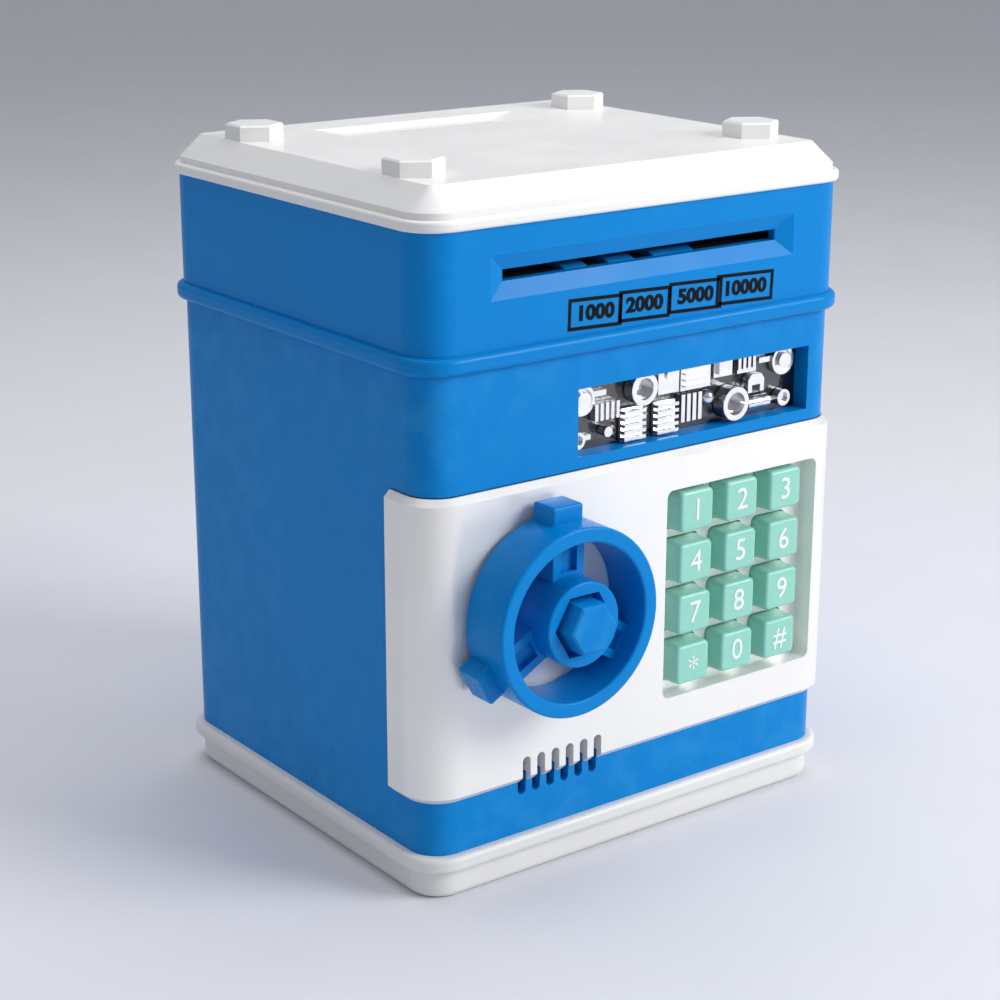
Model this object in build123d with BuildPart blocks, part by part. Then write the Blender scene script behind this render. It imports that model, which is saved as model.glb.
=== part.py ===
"""Toy safe savings bank: a boxy money box with a motor-driven note slot, a coin slot in the lid, and a
front door that carries a twelve-key pad and a spoked handle wheel. Millimetres. X runs to the right as the
door is faced, Y to the back, Z up; the origin is the centre of the base's underside."""

from build123d import *

import os
from math import atan, atan2, cos, degrees, pi, radians, sin, tan

os.makedirs("parts", exist_ok=True)

# ---- casing ----
WIDTH, DEPTH, CORNER = 134.0, 118.0, 9.0  # upper housing, outside
HALF_W, HALF_D = WIDTH / 2, DEPTH / 2
WALL = 2.4
LOWER_INSET = 0.6  # the main housing is a little smaller than the upper one
FOOT_INSET, FOOT_TOP, FOOT_ROUND = 0.6, 7.6, 2.0
RIM_PROUD, RIM_TOP, RIM_ROUND = 1.8, 11.8, 1.4
MAIN_TOP = 133.4
BEAD_PROUD, BEAD_TOP, BEAD_ROUND = 1.8, 137.8, 1.5
UPPER_TOP = 166.8
LIP = 3.0  # each shell's locating lip reaches this far into the next
FIT = 0.2

# ---- lid ----
LID_RIM_PROUD, LID_RIM_TOP, LID_RIM_ROUND = 1.25, 169.6, 0.9
SKIRT_INSET, SKIRT_TOP, LID_TOP, LID_BEVEL = 0.4, 171.2, 176.7, 6.1
LID_WALL = 2.2
HEX_RADIUS, HEX_HEIGHT, HEX_X, HEX_Y = 7.5, 4.0, 53.5, 36.0
COIN_SLOT_L, COIN_SLOT_W, COIN_Y = 39.0, 3.2, 30.0
COIN_DISH_L, COIN_DISH_RAMP, COIN_DISH_DEPTH = 66.0, 7.0, 1.2
COIN_DISH_FRONT, COIN_DISH_BACK = 23.5, 40.0

# ---- note slot ----
NOTE_X, NOTE_Z, NOTE_W, NOTE_H = 0.0, 154.8, 86.8, 2.8
NOTE_BEVEL_W, NOTE_BEVEL_H, NOTE_BEVEL_D = 96.4, 10.7, 2.0

# ---- window ----
WINDOW_X0, WINDOW_X1, WINDOW_Z0, WINDOW_Z1, WINDOW_DEPTH = -21.2, 56.0, 107.2, 124.3, 5.0
WINDOW_FRAME = 1.5

# ---- door ----
DOOR_Z0, DOOR_Z1, DOOR_GAP = 26.05, 103.95, 0.25
DOOR_PROUD, DOOR_SKIN_INSET, DOOR_BEVEL = 1.45, 0.5, 1.6
DOOR_BACK_Y = -43.8
RABBET, OPENING_Z0, OPENING_Z1, OPENING_Y = 1.0, 27.4, 102.6, -44.8
LEDGE = 2.0
FLOOR_Z0, FLOOR_Z1 = 25.2, 26.5
COVER_Y0, COVER_Y1, COVER_Z0, COVER_Z1 = -53.2, -45.7, 35.6, 96.0
COVER_SCREWS = [(x, z) for x in (-50.6, 3.6) for z in (39.4, 92.5)]
PLATE_BACK_Y = -56.4
HINGE_X, HINGE_Y = 61.0, -38.0
HINGE_PIN_R, HINGE_BARREL_R = 1.0, 2.6
ARM_HEIGHT, ARM_Z = 4.0, (29.5, 96.5)
ARM_LEG_X0, ARM_LEG_X1 = 49.7, 52.2

# ---- keypad ----
PAD_X0, PAD_X1, PAD_Z0, PAD_Z1, PAD_FLOOR_Y = 6.4, 58.6, 37.3, 93.9, -55.2
PAD_WALL, PAD_FLOOR = 1.6, 2.0
KEY_X, KEY_Z, KEY_PITCH_X, KEY_PITCH_Z = 15.8, 87.5, 15.45, 13.9
KEY_FACE_W, KEY_FACE_H, KEY_FACE_Y = 11.0, 10.6, -61.5
KEY_W, KEY_H, KEY_CLEAR, KEY_FLANGE = 11.4, 11.2, 0.25, 0.7
KEY_NAMES = ("1", "2", "3", "4", "5", "6", "7", "8", "9", "star", "0", "hash")

# ---- handle wheel ----
WHEEL_X, WHEEL_Z = -33.7, 72.1
WHEEL_R, WHEEL_IN_R, WHEEL_BACK_Y, WHEEL_FRONT_Y = 23.9, 20.0, -62.0, -76.0
HUB_R, HUB_FRONT_Y, HUB_SOCKET_AF, HUB_SOCKET_DEPTH = 10.8, -77.0, 15.2, 4.2
SPOKE_ANGLES = (89, 209, 329)
SPOKE_W, SPOKE_FRONT_Y = 9.4, -70.5
TAB_W, TAB_R, TAB_FRONT_Y = 9.2, 28.0, -70.0
BOLT_AF, BOLT_FRONT_Y = 11.8, -81.0
SPINDLE_R = 4.0
LOCK_DISC_R, LOCK_NOTCH, LOCK_Y0, LOCK_Y1, PLUNGER_R = 10.0, 3.4, -52.8, -50.4, 1.8
CAM_LENGTH, CAM_W, CAM_Y0, CAM_Y1 = 28.0, 9.0, -41.8, -39.8

# ---- note drive ----
DRIVE_Y, DRIVE_Z, ROLLER_R, PINCH_Z, PINCH_R = -40.0, 148.45, 6.0, 160.1, 5.0
ROLLER_XS, ROLLER_W, SHAFT_R = (-25.0, 0.0, 25.0), 8.0, 2.0
GUIDE_HALF_W, GUIDE_FRONT_Y, GUIDE_BACK_Y = 47.8, -54.4, -26.0
GUIDE_LOW_Z0, GUIDE_LOW_Z1, GUIDE_UP_Z0, GUIDE_UP_Z1 = 151.3, 153.1, 156.4, 158.2
FRAME_X, FRAME_T, FRAME_SCREW_ZS = 48.0, 2.0, (139.0, 162.0)
GEAR_MODULE, GEAR_TEETH, PINION_TEETH, GEAR_W, BACKLASH = 0.8, 24, 12, 4.0, 0.16
MOTOR_R, MOTOR_L = 8.5, 17.6
MOTOR_Y = DRIVE_Y + 13.0
LEVER_Y, LEVER_Z, LEVER_X, LEVER_LENGTH = -31.0, 160.8, 12.0, 6.6

# ---- base ----
BATTERY_Y, CELL_R, CELL_L, CELL_PITCH, CELL_Z = 31.8, 7.15, 50.3, 14.6, 9.75
SCREW_X, SCREW_Y = 55.0, 47.0
SCREW_R, SCREW_HOLE_R, SCREW_HEAD_R = 1.4, 1.45, 3.0


def block(x0, x1, y0, y1, z0, z1, mode=Mode.ADD):
    """A box between two corners, in the part that is being built."""
    with Locations(((x0 + x1) / 2, (y0 + y1) / 2, (z0 + z1) / 2)):
        Box(x1 - x0, y1 - y0, z1 - z0, mode=mode)


def outline(inset, mode=Mode.ADD):
    """The casing's rounded plan outline, inset from the upper housing's."""
    RectangleRounded(WIDTH - 2 * inset, DEPTH - 2 * inset, CORNER - inset, mode=mode)


def slab(inset, z0, z1, mode=Mode.ADD):
    """The casing outline extruded from z0 to z1."""
    with BuildSketch(Plane.XY.offset(z0)) as sketch:
        outline(inset)
    extrude(sketch.sketch, amount=z1 - z0, mode=mode)


def tube(inset, wall, z0, z1):
    """A wall that follows the casing outline from z0 to z1."""
    with BuildSketch(Plane.XY.offset(z0)) as sketch:
        outline(inset)
        outline(inset + wall, mode=Mode.SUBTRACT)
    extrude(sketch.sketch, amount=z1 - z0)


def rod(x, z, radius, y0, y1, mode=Mode.ADD):
    """A cylinder along Y at (x, z)."""
    with BuildSketch(Plane.XZ.offset(-y1)) as sketch:
        with Locations((x, z)):
            Circle(radius)
    extrude(sketch.sketch, amount=y1 - y0, mode=mode)


def axle(y, z, radius, x0, x1, mode=Mode.ADD):
    """A cylinder along X at (y, z)."""
    with BuildSketch(Plane.YZ.offset(x0)) as sketch:
        with Locations((y, z)):
            Circle(radius)
    extrude(sketch.sketch, amount=x1 - x0, mode=mode)


def post(x, y, radius, z0, z1, mode=Mode.ADD):
    """A cylinder along Z at (x, y)."""
    with BuildSketch(Plane.XY.offset(z0)) as sketch:
        with Locations((x, y)):
            Circle(radius)
    extrude(sketch.sketch, amount=z1 - z0, mode=mode)


def corners(x, y):
    """The four places mirrored about both centre planes."""
    return [(sx * x, sy * y) for sx in (-1, 1) for sy in (-1, 1)]


def gear_outline(teeth, turn):
    """Points of an involute spur gear, tooth 0 centred on the angle turn, thinned by the backlash."""
    pitch = GEAR_MODULE * teeth / 2
    base, tip, root = pitch * cos(radians(20)), pitch + GEAR_MODULE, pitch - 1.25 * GEAR_MODULE
    involute_at_pitch = tan(radians(20)) - radians(20)
    half_pitch_angle = pi / (2 * teeth) - BACKLASH / (2 * pitch)
    start = max(base, root)
    flank = []
    for step in range(6):
        radius = start + (tip - start) * step / 5
        roll = max((radius / base) ** 2 - 1, 0) ** 0.5
        spread = half_pitch_angle + involute_at_pitch - (roll - atan(roll))
        flank.append((radius, spread))
    points = []
    for tooth in range(teeth):
        middle = radians(turn) + tooth * 2 * pi / teeth
        points.append((root, middle - flank[0][1] - 0.02))
        points += [(r, middle - a) for r, a in flank]
        points += [(r, middle + a) for r, a in reversed(flank)]
        points.append((root, middle + flank[0][1] + 0.02))
    return [(r * cos(a), r * sin(a)) for r, a in points]


def gear(y, z, teeth, turn, x0, x1):
    """A spur gear along X at (y, z)."""
    with BuildSketch(Plane.YZ.offset(x0)) as sketch:
        with Locations((y, z)):
            Polygon(*gear_outline(teeth, turn), align=None)
    extrude(sketch.sketch, amount=x1 - x0)


def save(builder, name):
    """Labels a finished piece and writes it."""
    builder.part.label = name
    export_step(builder.part, f"parts/{name}.step")


# ======================= casing =======================


def bead(proud, z0, z1, rounding, wall):
    """A rounded ring that stands proud of the casing."""
    with BuildPart() as ring:
        slab(-proud, z0, z1)
        fillet(ring.edges().group_by(Axis.Z)[0] + ring.edges().group_by(Axis.Z)[-1], rounding)
        slab(wall, z0 - 1, z1 + 1, mode=Mode.SUBTRACT)
    return ring.part


base_rim = bead(RIM_PROUD, FOOT_TOP, RIM_TOP, RIM_ROUND, WALL)
with BuildPart() as base_tray:
    slab(FOOT_INSET, 0, FOOT_TOP)
    fillet(base_tray.edges().group_by(Axis.Z)[0], FOOT_ROUND)
    slab(FOOT_INSET, FOOT_TOP - 1, RIM_TOP)
    add(base_rim)
    slab(WALL + LOWER_INSET + FIT, RIM_TOP, RIM_TOP + LIP)
    slab(WALL + LOWER_INSET + FIT + 1.8, WALL, RIM_TOP + LIP, mode=Mode.SUBTRACT)
    # battery well, with a recess below it for its cover
    block(-34.5, 34.5, 0.8, 56.0, 0.5, 4.2)
    block(-30.8, 30.8, 8.0, 55.6, 0.5, 18.8)
    post(0, 5.6, 3.3, 4.0, 12.0)
    for x, y in corners(SCREW_X, SCREW_Y):
        post(x, y, 4.2, WALL - 0.4, RIM_TOP + LIP)
    block(-32.2, 32.2, 2.6, 55.4, -1, 2.0, mode=Mode.SUBTRACT)
    block(-29.2, 29.2, 9.6, 54.0, 1.0, 17.2, mode=Mode.SUBTRACT)
    post(0, 5.6, 1.25, 1.0, 10.5, mode=Mode.SUBTRACT)
    for x, y in corners(SCREW_X, SCREW_Y):
        post(x, y, SCREW_R + 0.3, -1, RIM_TOP + LIP + 1, mode=Mode.SUBTRACT)
        post(x, y, SCREW_HEAD_R + 0.3, -1, 3.6, mode=Mode.SUBTRACT)
save(base_tray, "base_tray")

SLOT_XS = [-38.0 + 4.55 * i for i in range(6)]
SLOT_Z0, SLOT_Z1, SLOT_W = 22.2, 33.2, 2.5


def speaker_slots(y0, y1, z_low, z_high):
    """Cuts the six upright speaker slots between two depths."""
    with BuildSketch(Plane.XZ.offset(-y1)) as sketch:
        for x in SLOT_XS:
            with Locations((x, (z_low + z_high) / 2)):
                SlotOverall(z_high - z_low, SLOT_W, rotation=90)
    extrude(sketch.sketch, amount=y1 - y0, mode=Mode.SUBTRACT)


with BuildPart() as main_housing:
    tube(LOWER_INSET, WALL, RIM_TOP, MAIN_TOP)
    # ledges that close the top and the bottom of the door opening
    slab(LOWER_INSET + WALL - 0.2, OPENING_Z0 - LEDGE, OPENING_Z0)
    slab(LOWER_INSET + WALL - 0.2, OPENING_Z1, OPENING_Z1 + LEDGE)
    block(-70, 70, OPENING_Y, 70, OPENING_Z0 - LEDGE - 1, OPENING_Z1 + LEDGE + 1, mode=Mode.SUBTRACT)
    with BuildSketch(Plane.XY.offset(OPENING_Z0 - LEDGE - 1)):
        outline(LOWER_INSET)
        outline(LOWER_INSET + WALL, mode=Mode.SUBTRACT)
        with Locations((0, OPENING_Y - 100)):
            Rectangle(200, 200, mode=Mode.SUBTRACT)
    extrude(amount=OPENING_Z1 - OPENING_Z0 + 2 * LEDGE + 2)
    # rabbet in which the door's edges lie, then the opening itself
    with BuildSketch(Plane.XY.offset(DOOR_Z0 - DOOR_GAP)):
        Rectangle(160, 160)
        outline(LOWER_INSET + RABBET, mode=Mode.SUBTRACT)
        with Locations((0, DOOR_BACK_Y + 0.35 + 100)):
            Rectangle(200, 200, mode=Mode.SUBTRACT)
    extrude(amount=DOOR_Z1 - DOOR_Z0 + 2 * DOOR_GAP, mode=Mode.SUBTRACT)
    block(-70, 70, -70, OPENING_Y, OPENING_Z0, OPENING_Z1, mode=Mode.SUBTRACT)
    # window tunnel
    front = -HALF_D + LOWER_INSET
    block(WINDOW_X0 - WINDOW_FRAME, WINDOW_X1 + WINDOW_FRAME, front + 0.5, front + WINDOW_DEPTH,
          WINDOW_Z0 - WINDOW_FRAME, WINDOW_Z1 + WINDOW_FRAME)
    block(WINDOW_X0, WINDOW_X1, front - 1, front + WINDOW_DEPTH + 1, WINDOW_Z0, WINDOW_Z1,
          mode=Mode.SUBTRACT)
    speaker_slots(-60, -56, SLOT_Z0, SLOT_Z1 - 5)
    # screw bosses for the base
    for x, y in corners(SCREW_X, SCREW_Y):
        post(x, y, 4.0, RIM_TOP + LIP + FIT, FLOOR_Z0)
        block(min(x, x * 1.17), max(x, x * 1.17), y - 1, y + 1, RIM_TOP + LIP + FIT, 24)
        post(x, y, SCREW_HOLE_R, RIM_TOP, 24, mode=Mode.SUBTRACT)
    # hinge ears on the right wall, one above and one below each door arm
    for z in ARM_Z:
        for z0, z1 in ((z - 2.8, z - 0.3), (z + ARM_HEIGHT + 0.3, z + ARM_HEIGHT + 2.6)):
            post(HINGE_X, HINGE_Y, 2.8, z0, z1)
            block(HINGE_X, HALF_W - LOWER_INSET - WALL + 0.3, HINGE_Y - 2.8, HINGE_Y + 2.8, z0, z1)
        post(HINGE_X, HINGE_Y, HINGE_PIN_R + 0.01, z - 2.8, z + ARM_HEIGHT + 2.6, mode=Mode.SUBTRACT)
save(main_housing, "main_housing")

# the lip that the latch cam turns behind
with BuildPart() as latch_strike:
    block(-HALF_W + LOWER_INSET + WALL, -58.5, -44.6, -42.4, WHEEL_Z - 8.5, WHEEL_Z + 8.5)
    chamfer(latch_strike.edges().group_by(Axis.X)[-1], 0.5)
save(latch_strike, "latch_strike")

with BuildPart() as compartment_floor:
    slab(LOWER_INSET + WALL + 0.2, FLOOR_Z0, FLOOR_Z1)
    block(-70, 70, -70, OPENING_Y + 0.2, 20, 30, mode=Mode.SUBTRACT)
save(compartment_floor, "compartment_floor")

band = bead(BEAD_PROUD, MAIN_TOP, BEAD_TOP, BEAD_ROUND, WALL)
with BuildPart() as upper_housing:
    tube(0, WALL, MAIN_TOP, UPPER_TOP)
    add(band)
    tube(LOWER_INSET + WALL + FIT, 1.8, MAIN_TOP - LIP, MAIN_TOP + 1)
    # thick pad behind the note slot, the slot's bevelled mouth, and its throat
    block(-57.0, 57.0, -HALF_D + WALL - 0.4, -54.6, MAIN_TOP + 0.5, UPPER_TOP - LIP - 0.2)
    with BuildSketch(Plane.XZ.offset(HALF_D)):
        with Locations((NOTE_X, NOTE_Z)):
            Rectangle(NOTE_BEVEL_W, NOTE_BEVEL_H)
    with BuildSketch(Plane.XZ.offset(HALF_D - NOTE_BEVEL_D)):
        with Locations((NOTE_X, NOTE_Z)):
            Rectangle(NOTE_W, NOTE_H)
    loft(ruled=True, mode=Mode.SUBTRACT)
    block(NOTE_X - NOTE_W / 2, NOTE_X + NOTE_W / 2, -HALF_D + 1, -54, NOTE_Z - NOTE_H / 2,
          NOTE_Z + NOTE_H / 2, mode=Mode.SUBTRACT)
    # tabs that take the lid's screws
    for x, y in corners(56.0, 46.0):
        block(min(x, x * 1.16), max(x, x * 1.16), y - 4, y + 4, 161.0, 163.4)
        post(x, y, 4.0, 161.0, 163.4)
        post(x, y, SCREW_R + 0.3, 160, 164, mode=Mode.SUBTRACT)
    # pilot holes for the roller frames' screws
    for x in (-53.0, 53.0):
        for z in FRAME_SCREW_ZS:
            rod(x, z, 1.25, -58.0, -54.0, mode=Mode.SUBTRACT)
save(upper_housing, "upper_housing")

lid_rim = bead(LID_RIM_PROUD, UPPER_TOP, LID_RIM_TOP, LID_RIM_ROUND, WALL)
with BuildPart() as lid:
    add(lid_rim)
    slab(SKIRT_INSET, UPPER_TOP + 0.5, SKIRT_TOP)
    with BuildSketch(Plane.XY.offset(SKIRT_TOP)):
        outline(SKIRT_INSET)
    with BuildSketch(Plane.XY.offset(LID_TOP)):
        RectangleRounded(WIDTH - 2 * (SKIRT_INSET + LID_BEVEL), DEPTH - 2 * (SKIRT_INSET + LID_BEVEL), 1.2)
    loft(ruled=True)
    # hollow underside
    slab(WALL + FIT + 1.8, UPPER_TOP - 1, SKIRT_TOP - 1.0, mode=Mode.SUBTRACT)
    with BuildSketch(Plane.XY.offset(SKIRT_TOP - 1.0)):
        outline(WALL + FIT + 1.8)
    with BuildSketch(Plane.XY.offset(LID_TOP - LID_WALL)):
        RectangleRounded(WIDTH - 2 * 9.4, DEPTH - 2 * 9.4, 1.2)
    loft(ruled=True, mode=Mode.SUBTRACT)
    tube(WALL + FIT, 1.8, UPPER_TOP - LIP, UPPER_TOP + 1.5)
    # coin dish with a ramp at each end, and the coin slot in it
    block(-COIN_DISH_L / 2, COIN_DISH_L / 2, COIN_DISH_FRONT - 2, COIN_DISH_BACK + 2, 173.0, LID_TOP - 1.5)
    with BuildSketch(Plane.XZ.offset(-COIN_DISH_BACK)):
        with BuildLine():
            Polyline(
                (-COIN_DISH_L / 2, LID_TOP),
                (-COIN_DISH_L / 2 + COIN_DISH_RAMP, LID_TOP - COIN_DISH_DEPTH),
                (COIN_DISH_L / 2 - COIN_DISH_RAMP, LID_TOP - COIN_DISH_DEPTH),
                (COIN_DISH_L / 2, LID_TOP),
                (COIN_DISH_L / 2, LID_TOP + 1),
                (-COIN_DISH_L / 2, LID_TOP + 1),
                close=True,
            )
        make_face()
    extrude(amount=COIN_DISH_BACK - COIN_DISH_FRONT, mode=Mode.SUBTRACT)
    with BuildSketch(Plane.XY.offset(170)):
        with Locations((0, COIN_Y)):
            SlotOverall(COIN_SLOT_L, COIN_SLOT_W)
    extrude(amount=10, mode=Mode.SUBTRACT)
    for x, y in corners(56.0, 46.0):
        post(x, y, 3.6, UPPER_TOP - 3.4, SKIRT_TOP - 0.5)
        post(x, y, SCREW_HOLE_R, 160, 170.2, mode=Mode.SUBTRACT)
    for x, y in corners(HEX_X, HEX_Y):
        post(x, y, 2.05, 173, 180, mode=Mode.SUBTRACT)
save(lid, "lid")

with BuildPart() as hex_caps:
    for x, y in corners(HEX_X, HEX_Y):
        with BuildSketch(Plane.XY.offset(LID_TOP)):
            with Locations((x, y)):
                RegularPolygon(HEX_RADIUS, 6, rotation=30)
        extrude(amount=HEX_HEIGHT)
    chamfer(hex_caps.edges().group_by(Axis.Z)[-1], 0.45)
    for x, y in corners(HEX_X, HEX_Y):
        post(x, y, 2.0, LID_TOP - 2.6, LID_TOP + 1)
save(hex_caps, "hex_caps")

with BuildPart() as lid_screws:
    for x, y in corners(56.0, 46.0):
        post(x, y, SCREW_R, 160.9, 170.0)
        post(x, y, SCREW_HEAD_R, 158.7, 160.95)
save(lid_screws, "lid_screws")

with BuildPart() as base_screws:
    for x, y in corners(SCREW_X, SCREW_Y):
        post(x, y, SCREW_R, 3.0, 22.0)
        post(x, y, SCREW_HEAD_R, 1.2, 3.55)
save(base_screws, "base_screws")

# ======================= window =======================

RELIEF_Y = -HALF_D + LOWER_INSET + WINDOW_DEPTH


def port(x, z, radius, height, hole, depth=1.4):
    """A ring on the relief plate, sunk in the middle."""
    rod(x, z, radius, RELIEF_Y - height, RELIEF_Y + 0.2)
    rod(x, z, hole, RELIEF_Y - height - 1, RELIEF_Y - height + depth, mode=Mode.SUBTRACT)


def plate(x0, x1, z0, z1, height):
    """A raised rectangle on the relief plate."""
    block(x0, x1, RELIEF_Y - height, RELIEF_Y + 0.2, z0, z1)


with BuildPart() as window_relief:
    block(WINDOW_X0 - 1.2, WINDOW_X1 + 1.2, RELIEF_Y + 0.1, RELIEF_Y + 1.6, WINDOW_Z0 - 1.2, WINDOW_Z1 + 1.2)
    # ringed discs at both ends, and the small ones below them
    for x, z, radius in ((-17.4, 120.2, 3.9), (50.0, 120.6, 3.8)):
        port(x, z, radius, 1.8, radius - 0.8, 0.8)
        rod(x, z, radius - 1.7, RELIEF_Y - 2.6, RELIEF_Y)
        plate(x - 8.0 if x > 0 else x + 3, x - 3 if x > 0 else x + 8.0, z + 0.2, z + 1.6, 1.2)
    for x, z, radius in ((-19.2, 110.4, 2.2), (50.0, 110.7, 2.2)):
        port(x, z, radius, 2.6, radius - 0.8, 0.8)
        plate(x - 5.0 if x > 0 else x + 1.5, x - 1.5 if x > 0 else x + 5.0, z - 0.6, z + 0.6, 1.2)
    # open ports
    port(1.3, 120.6, 4.2, 3.4, 2.8, 2.6)
    port(31.6, 112.2, 4.4, 4.2, 3.0, 3.2)
    # combed and louvred blocks
    plate(-13.8, -6.0, 114.4, 118.8, 1.0)
    for i in range(5):
        plate(-13.8 + 1.7 * i, -12.8 + 1.7 * i, 114.4, 118.8, 2.4)
    rod(-10.0, 111.4, 1.3, RELIEF_Y - 3.0, RELIEF_Y + 0.2)
    for x in (-4.6, 6.2):
        plate(x, x + 7.0, 107.6, 115.9, 1.2)
        for i in range(5):
            plate(x, x + 7.0, 107.8 + 1.7 * i, 108.7 + 1.7 * i, 2.8)
    # shield plate with a screw, slotted panel, and upright bars
    plate(7.0, 13.9, 117.8, 124.4, 1.8)
    rod(10.4, 122.6, 1.1, RELIEF_Y - 2.4, RELIEF_Y)
    plate(14.6, 24.7, 117.6, 124.6, 1.6)
    for i in range(4):
        plate(15.6, 23.6, 118.5 + 1.6 * i, 119.1 + 1.6 * i, 2.4)
    for i in range(4):
        plate(14.4 + 1.9 * i, 15.6 + 1.9 * i, 109.6, 116.8, 2.4)
    with Locations((24.0, RELIEF_Y - 1.0, 114.6)):
        Sphere(2.0)
    # layered boxes, bracket and cylinder
    plate(26.2, 32.6, 119.2, 124.6, 1.2)
    plate(27.2, 31.6, 120.2, 123.6, 2.2)
    for i in range(4):
        plate(34.0 + 1.7 * i, 35.0 + 1.7 * i, 120.2, 124.6, 2.0)
    plate(34.0, 40.6, 119.2, 120.3, 1.6)
    with BuildSketch(Plane.XZ.offset(-RELIEF_Y - 0.2)):
        with BuildLine():
            Polyline((36.9, 113.9), (36.9, 117.2), (38.0, 118.6), (41.4, 118.6), (42.5, 117.2), (42.5, 113.9), close=True)
        make_face()
        with Locations((39.7, 114.6)):
            Rectangle(2.8, 2.4, mode=Mode.SUBTRACT)
    extrude(amount=3.0)
    with Locations(Location((41.0, RELIEF_Y - 1.2, 110.6), (0, 90, 0))):
        Cylinder(1.9, 7.4)
    # trim what would stand in the tunnel's walls
    for x0, x1, z0, z1 in (
        (-30, WINDOW_X0 + 0.15, 100, 130),
        (WINDOW_X1 - 0.15, 65, 100, 130),
        (-30, 65, WINDOW_Z1 - 0.15, 130),
        (-30, 65, 100, WINDOW_Z0 + 0.15),
    ):
        block(x0, x1, -HALF_D, RELIEF_Y + 0.05, z0, z1, mode=Mode.SUBTRACT)
save(window_relief, "window_relief")

# ======================= door =======================

KEY_PLACES = [(KEY_X + KEY_PITCH_X * (i % 3), KEY_Z - KEY_PITCH_Z * (i // 3)) for i in range(12)]

with BuildPart() as door_shell:
    slab(-DOOR_PROUD, DOOR_Z0, DOOR_Z1)
    chamfer(door_shell.edges().group_by(Axis.Z)[0] + door_shell.edges().group_by(Axis.Z)[-1],
            DOOR_BEVEL)
    slab(DOOR_SKIN_INSET, DOOR_Z0 - 1, DOOR_Z1 + 1, mode=Mode.SUBTRACT)
    block(-80, 80, DOOR_BACK_Y, 80, DOOR_Z0 - 1, DOOR_Z1 + 1, mode=Mode.SUBTRACT)
    # stiff plate behind the face, and the rim that the back cover stands on
    block(-62, 62, -HALF_D + DOOR_SKIN_INSET - 0.2, PLATE_BACK_Y, OPENING_Z0 + 0.8, OPENING_Z1 - 0.8)
    block(-54, 6, PLATE_BACK_Y - 0.2, COVER_Y0, COVER_Z0, COVER_Z1)
    block(-52.4, 3.4, PLATE_BACK_Y, -53, COVER_Z0 + 1.6, COVER_Z1 - 1.6, mode=Mode.SUBTRACT)
    # keypad pocket
    block(PAD_X0 - PAD_WALL, PAD_X1 + PAD_WALL, PLATE_BACK_Y - 0.2, PAD_FLOOR_Y + PAD_FLOOR,
          PAD_Z0 - PAD_WALL, PAD_Z1 + PAD_WALL)
    with BuildSketch(Plane.XZ.offset(-PAD_FLOOR_Y)):
        with Locations(((PAD_X0 + PAD_X1) / 2, (PAD_Z0 + PAD_Z1) / 2)):
            RectangleRounded(PAD_X1 - PAD_X0, PAD_Z1 - PAD_Z0, 2.0)
    extrude(amount=10, mode=Mode.SUBTRACT)
    with BuildSketch(Plane.XZ.offset(50)):
        for x, z in KEY_PLACES:
            with Locations((x, z)):
                RectangleRounded(KEY_W + 2 * KEY_CLEAR, KEY_H + 2 * KEY_CLEAR, 1.6)
    extrude(amount=6, mode=Mode.SUBTRACT)
    speaker_slots(-62, -56, SLOT_Z0, SLOT_Z1)
    # spindle bearing
    rod(WHEEL_X, WHEEL_Z, 7.0, PLATE_BACK_Y - 1, -53.4)
    rod(WHEEL_X, WHEEL_Z, SPINDLE_R + 0.08, -62, -52, mode=Mode.SUBTRACT)
    # gooseneck hinge arms
    for z in ARM_Z:
        block(ARM_LEG_X0, ARM_LEG_X1, PLATE_BACK_Y - 0.2, HINGE_Y + 2.0, z, z + ARM_HEIGHT)
        block(ARM_LEG_X0, HINGE_X, HINGE_Y - 1.2, HINGE_Y + 2.0, z, z + ARM_HEIGHT)
        post(HINGE_X, HINGE_Y, HINGE_BARREL_R, z, z + ARM_HEIGHT)
        post(HINGE_X, HINGE_Y, HINGE_PIN_R + 0.06, z - 1, z + ARM_HEIGHT + 1, mode=Mode.SUBTRACT)
save(door_shell, "door_shell")

with BuildPart() as hinge_pins:
    for z in ARM_Z:
        post(HINGE_X, HINGE_Y, HINGE_PIN_R, z - 2.8, z + ARM_HEIGHT + 2.6)
save(hinge_pins, "hinge_pins")

with BuildPart() as door_back_cover:
    block(-54, 55.5, COVER_Y0, COVER_Y1, COVER_Z0, COVER_Z1)
    block(-52.4, 53.9, COVER_Y0 - 1, COVER_Y1 - 1.6, COVER_Z0 + 1.6, COVER_Z1 - 1.6, mode=Mode.SUBTRACT)
    rod(WHEEL_X, WHEEL_Z, 6.5, COVER_Y1 - 3.4, COVER_Y1 + 2.6)
    rod(WHEEL_X, WHEEL_Z, SPINDLE_R + 0.08, COVER_Y0 - 1, COVER_Y1 + 4, mode=Mode.SUBTRACT)
    for x, z in COVER_SCREWS:
        rod(x, z, 2.6, COVER_Y0, COVER_Y1 - 1)
        rod(x, z, 1.3, COVER_Y0 - 1, COVER_Y1 + 1, mode=Mode.SUBTRACT)
save(door_back_cover, "door_back_cover")

with BuildPart() as cover_screws:
    for x, z in COVER_SCREWS:
        rod(x, z, 1.2, -52.9, COVER_Y1 + 0.1)
        rod(x, z, 2.3, COVER_Y1 + 0.05, COVER_Y1 + 1.5)
save(cover_screws, "cover_screws")

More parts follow.
